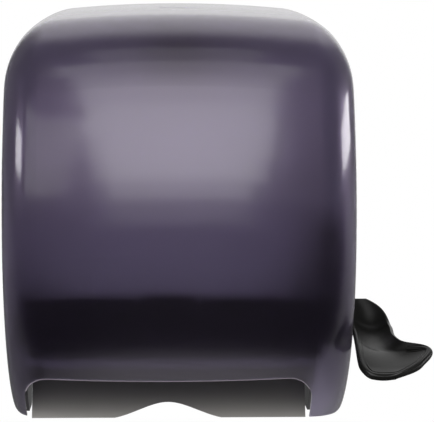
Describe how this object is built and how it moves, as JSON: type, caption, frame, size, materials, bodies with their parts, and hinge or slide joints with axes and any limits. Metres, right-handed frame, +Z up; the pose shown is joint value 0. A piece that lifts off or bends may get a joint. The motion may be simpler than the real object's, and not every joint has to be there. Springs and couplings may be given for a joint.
{
  "type": "lever towel dispenser",
  "caption": "Wall-mounted dispenser for roll towels: a smoke-coloured domed cover over a feed module, worked by a dished black lever on the right side.",
  "frame": {"origin": "on the wall plane, at the centre of the mounting holes", "axes": "+Z up, +X to the right as seen by the user, the front faces -Y and the wall is on +Y"},
  "size_m": [0.3283, 0.2148, 0.324],
  "materials": {
    "cover": "smoke, see-through, gloss",
    "black": "satin",
    "grey": "satin",
    "natural": "satin",
    "rubber": "matt",
    "steel": "plain",
    "spring": "drawn wire"
  },
  "bodies": {
    "chassis": {"latch_strike": "black", "strike_screws": "steel", "back_plate": "black", "hinge_pin_left": "steel", "hinge_pin_right": "steel", "side_frame_left": "black", "side_frame_right": "black", "frame_screws": "steel", "feed_frame": "black", "tie_bar": "black", "paper_chute": "grey", "module_cover": "black", "module_screws": "steel", "tear_bar": "steel", "tear_bar_screws": "steel", "feed_bush_left": "natural", "feed_bush_right": "natural", "pressure_pivot": "steel", "pressure_springs": "spring", "roll_arm_left": "black", "arm_bracket": "black", "arm_pin": "steel", "arm_spring": "spring", "arm_screws": "steel", "gear_case": "black", "gear_case_screws": "steel", "notch_filler": "black", "lever_bush_inner": "natural", "lever_bush_outer": "natural", "lever_spring": "spring"},
    "cover": {"front_cover": "cover", "latch_guide": "black", "latch_springs": "spring"},
    "latch": {"latch": "black"},
    "lever": {"lever": "black", "lever_axle": "steel", "lever_set_screw": "steel", "sector_gear": "natural"},
    "pinion": {"pinion": "natural", "one_way_clutch": "steel"},
    "feed_roller": {"feed_axle": "steel", "feed_cores": "black", "feed_sleeves": "rubber", "feed_wheel": "black", "feed_clip": "steel"},
    "pressure_arm": {"pressure_arms": "black"},
    "pressure_roller": {"pressure_axle": "steel", "pressure_rollers": "natural"},
    "roll_arm_right": {"roll_arm_right": "black"},
    "roll_hub_left": {"roll_hub_left": "natural", "hub_clip_left": "steel"},
    "roll_hub_right": {"roll_hub_right": "natural", "hub_clip_right": "steel"}
  },
  "joints": [
    {"name": "cover_hinge", "type": "hinge", "parent": "chassis", "child": "cover", "pos_m": [0, -0.014, -0.15], "axis": [1, 0, 0], "range_deg": [0, 100]},
    {"name": "latch_press", "type": "slide", "parent": "cover", "child": "latch", "axis": [0, 0, -1], "range_m": [0, 0.0032], "stiffness_N_per_m": 400, "springref_m": -0.002, "deforming": ["latch_springs"]},
    {"name": "lever_turn", "type": "hinge", "parent": "chassis", "child": "lever", "pos_m": [0, -0.066, -0.088], "axis": [1, 0, 0], "range_deg": [0, 40], "stiffness_Nm_per_rad": 0.25, "springref_deg": -34.38, "deforming": ["lever_spring"]},
    {"name": "pinion_turn", "type": "hinge", "parent": "chassis", "child": "pinion", "pos_m": [0, -0.15, -0.088], "axis": [1, 0, 0], "range_deg": [-240, 0]},
    {"name": "feed_spin", "type": "hinge", "parent": "chassis", "child": "feed_roller", "pos_m": [0, -0.15, -0.088], "axis": [1, 0, 0], "continuous": true},
    {"name": "press_swing", "type": "hinge", "parent": "chassis", "child": "pressure_arm", "pos_m": [0, -0.112, -0.0735], "axis": [1, 0, 0], "range_deg": [0, 6], "stiffness_Nm_per_rad": 0.5, "springref_deg": -11.46, "deforming": ["pressure_springs"]},
    {"name": "press_spin", "type": "hinge", "parent": "pressure_arm", "child": "pressure_roller", "pos_m": [0, -0.1244, -0.09401], "axis": [1, 0, 0], "continuous": true},
    {"name": "arm_swing", "type": "hinge", "parent": "chassis", "child": "roll_arm_right", "pos_m": [0.0985, -0.011, 0.035], "axis": [0, 0, 1], "range_deg": [0, 8], "stiffness_Nm_per_rad": 0.35, "springref_deg": -11.46, "deforming": ["arm_spring"]},
    {"name": "hub_left_spin", "type": "hinge", "parent": "chassis", "child": "roll_hub_left", "pos_m": [0, -0.102, 0.035], "axis": [1, 0, 0], "continuous": true},
    {"name": "hub_right_spin", "type": "hinge", "parent": "roll_arm_right", "child": "roll_hub_right", "pos_m": [0, -0.102, 0.035], "axis": [1, 0, 0], "continuous": true}
  ],
  "couplings": [
    {"joint": "pinion_turn", "follows": "lever_turn", "ratio": -6},
    {"joint": "press_spin", "follows": "feed_spin", "ratio": -1.8889}
  ]
}
